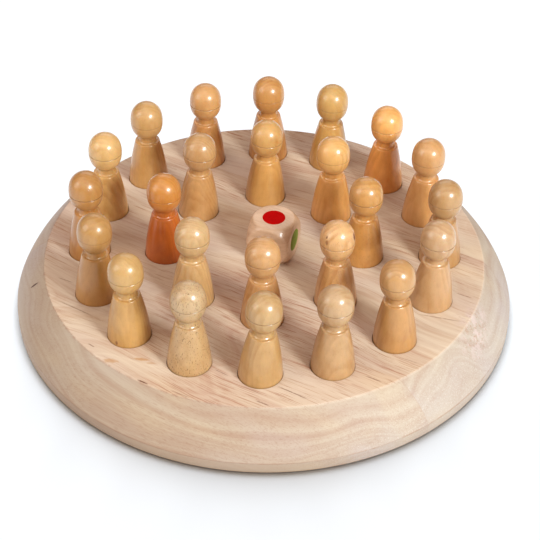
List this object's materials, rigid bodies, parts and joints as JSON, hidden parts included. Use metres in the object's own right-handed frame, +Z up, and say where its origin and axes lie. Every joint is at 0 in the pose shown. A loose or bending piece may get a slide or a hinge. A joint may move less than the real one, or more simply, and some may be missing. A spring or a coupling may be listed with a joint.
{
  "type": "wooden colour memory peg game",
  "caption": "Round wooden memory game: a thick board with two rings of recesses, turned pawn pegs that lift out to show a hidden colour, and a colour die.",
  "frame": {"origin": "centre of the board's flat underside", "axes": "+Z up through the board's centre; +Y towards peg 01 of each ring; the pegs' numbers run counter-clockwise seen from above"},
  "size_m": [0.228, 0.228, 0.0675],
  "materials": {
    "board_wood": "matt sanded and waxed",
    "peg_wood_pale": "gloss lacquer",
    "peg_wood_honey": "gloss lacquer",
    "peg_wood_amber": "gloss lacquer",
    "peg_wood_orange": "gloss lacquer",
    "peg_wood_russet": "gloss lacquer",
    "die_wood": "satin, tumbled",
    "paint_red": "satin paint",
    "paint_green": "satin paint",
    "paint_blue": "satin paint",
    "paint_yellow": "satin paint",
    "paint_orange": "satin paint",
    "paint_black": "satin paint"
  },
  "bodies": {
    "board": {"board": "board_wood"},
    "peg_outer_01": {"peg_outer_01": "peg_wood_amber", "spot_outer_01": "paint_red"},
    "peg_outer_02": {"peg_outer_02": "peg_wood_honey", "spot_outer_02": "paint_yellow"},
    "peg_outer_03": {"peg_outer_03": "peg_wood_honey", "spot_outer_03": "paint_green"},
    "peg_outer_04": {"peg_outer_04": "peg_wood_orange", "spot_outer_04": "paint_black"},
    "peg_outer_05": {"peg_outer_05": "peg_wood_orange", "spot_outer_05": "paint_blue"},
    "peg_outer_06": {"peg_outer_06": "peg_wood_honey", "spot_outer_06": "paint_orange"},
    "peg_outer_07": {"peg_outer_07": "peg_wood_honey", "spot_outer_07": "paint_red"},
    "peg_outer_08": {"peg_outer_08": "peg_wood_pale", "spot_outer_08": "paint_blue"},
    "peg_outer_09": {"peg_outer_09": "peg_wood_honey", "spot_outer_09": "paint_black"},
    "peg_outer_10": {"peg_outer_10": "peg_wood_honey", "spot_outer_10": "paint_green"},
    "peg_outer_11": {"peg_outer_11": "peg_wood_amber", "spot_outer_11": "paint_yellow"},
    "peg_outer_12": {"peg_outer_12": "peg_wood_honey", "spot_outer_12": "paint_orange"},
    "peg_outer_13": {"peg_outer_13": "peg_wood_amber", "spot_outer_13": "paint_red"},
    "peg_outer_14": {"peg_outer_14": "peg_wood_honey", "spot_outer_14": "paint_black"},
    "peg_outer_15": {"peg_outer_15": "peg_wood_honey", "spot_outer_15": "paint_blue"},
    "peg_outer_16": {"peg_outer_16": "peg_wood_amber", "spot_outer_16": "paint_yellow"},
    "peg_inner_01": {"peg_inner_01": "peg_wood_honey", "spot_inner_01": "paint_orange"},
    "peg_inner_02": {"peg_inner_02": "peg_wood_amber", "spot_inner_02": "paint_green"},
    "peg_inner_03": {"peg_inner_03": "peg_wood_russet", "spot_inner_03": "paint_blue"},
    "peg_inner_04": {"peg_inner_04": "peg_wood_honey", "spot_inner_04": "paint_red"},
    "peg_inner_05": {"peg_inner_05": "peg_wood_honey", "spot_inner_05": "paint_black"},
    "peg_inner_06": {"peg_inner_06": "peg_wood_honey", "spot_inner_06": "paint_yellow"},
    "peg_inner_07": {"peg_inner_07": "peg_wood_honey", "spot_inner_07": "paint_green"},
    "peg_inner_08": {"peg_inner_08": "peg_wood_honey", "spot_inner_08": "paint_orange"},
    "die": {"die": "die_wood", "die_spot_red": "paint_red", "die_spot_green": "paint_green", "die_spot_blue": "paint_blue", "die_spot_yellow": "paint_yellow", "die_spot_orange": "paint_orange", "die_spot_black": "paint_black"}
  },
  "joints": [
    {"name": "lift_peg_outer_01", "type": "slide", "parent": "board", "child": "peg_outer_01", "axis": [0, 0, 1], "range_m": [0, 0.055]},
    {"name": "lift_peg_outer_02", "type": "slide", "parent": "board", "child": "peg_outer_02", "axis": [0, 0, 1], "range_m": [0, 0.055]},
    {"name": "lift_peg_outer_03", "type": "slide", "parent": "board", "child": "peg_outer_03", "axis": [0, 0, 1], "range_m": [0, 0.055]},
    {"name": "lift_peg_outer_04", "type": "slide", "parent": "board", "child": "peg_outer_04", "axis": [0, 0, 1], "range_m": [0, 0.055]},
    {"name": "lift_peg_outer_05", "type": "slide", "parent": "board", "child": "peg_outer_05", "axis": [0, 0, 1], "range_m": [0, 0.055]},
    {"name": "lift_peg_outer_06", "type": "slide", "parent": "board", "child": "peg_outer_06", "axis": [0, 0, 1], "range_m": [0, 0.055]},
    {"name": "lift_peg_outer_07", "type": "slide", "parent": "board", "child": "peg_outer_07", "axis": [0, 0, 1], "range_m": [0, 0.055]},
    {"name": "lift_peg_outer_08", "type": "slide", "parent": "board", "child": "peg_outer_08", "axis": [0, 0, 1], "range_m": [0, 0.055]},
    {"name": "lift_peg_outer_09", "type": "slide", "parent": "board", "child": "peg_outer_09", "axis": [0, 0, 1], "range_m": [0, 0.055]},
    {"name": "lift_peg_outer_10", "type": "slide", "parent": "board", "child": "peg_outer_10", "axis": [0, 0, 1], "range_m": [0, 0.055]},
    {"name": "lift_peg_outer_11", "type": "slide", "parent": "board", "child": "peg_outer_11", "axis": [0, 0, 1], "range_m": [0, 0.055]},
    {"name": "lift_peg_outer_12", "type": "slide", "parent": "board", "child": "peg_outer_12", "axis": [0, 0, 1], "range_m": [0, 0.055]},
    {"name": "lift_peg_outer_13", "type": "slide", "parent": "board", "child": "peg_outer_13", "axis": [0, 0, 1], "range_m": [0, 0.055]},
    {"name": "lift_peg_outer_14", "type": "slide", "parent": "board", "child": "peg_outer_14", "axis": [0, 0, 1], "range_m": [0, 0.055]},
    {"name": "lift_peg_outer_15", "type": "slide", "parent": "board", "child": "peg_outer_15", "axis": [0, 0, 1], "range_m": [0, 0.055]},
    {"name": "lift_peg_outer_16", "type": "slide", "parent": "board", "child": "peg_outer_16", "axis": [0, 0, 1], "range_m": [0, 0.055]},
    {"name": "lift_peg_inner_01", "type": "slide", "parent": "board", "child": "peg_inner_01", "axis": [0, 0, 1], "range_m": [0, 0.055]},
    {"name": "lift_peg_inner_02", "type": "slide", "parent": "board", "child": "peg_inner_02", "axis": [0, 0, 1], "range_m": [0, 0.055]},
    {"name": "lift_peg_inner_03", "type": "slide", "parent": "board", "child": "peg_inner_03", "axis": [0, 0, 1], "range_m": [0, 0.055]},
    {"name": "lift_peg_inner_04", "type": "slide", "parent": "board", "child": "peg_inner_04", "axis": [0, 0, 1], "range_m": [0, 0.055]},
    {"name": "lift_peg_inner_05", "type": "slide", "parent": "board", "child": "peg_inner_05", "axis": [0, 0, 1], "range_m": [0, 0.055]},
    {"name": "lift_peg_inner_06", "type": "slide", "parent": "board", "child": "peg_inner_06", "axis": [0, 0, 1], "range_m": [0, 0.055]},
    {"name": "lift_peg_inner_07", "type": "slide", "parent": "board", "child": "peg_inner_07", "axis": [0, 0, 1], "range_m": [0, 0.055]},
    {"name": "lift_peg_inner_08", "type": "slide", "parent": "board", "child": "peg_inner_08", "axis": [0, 0, 1], "range_m": [0, 0.055]},
    {"name": "lift_die", "type": "slide", "parent": "board", "child": "die", "axis": [0, 0, 1], "range_m": [0, 0.06]}
  ]
}
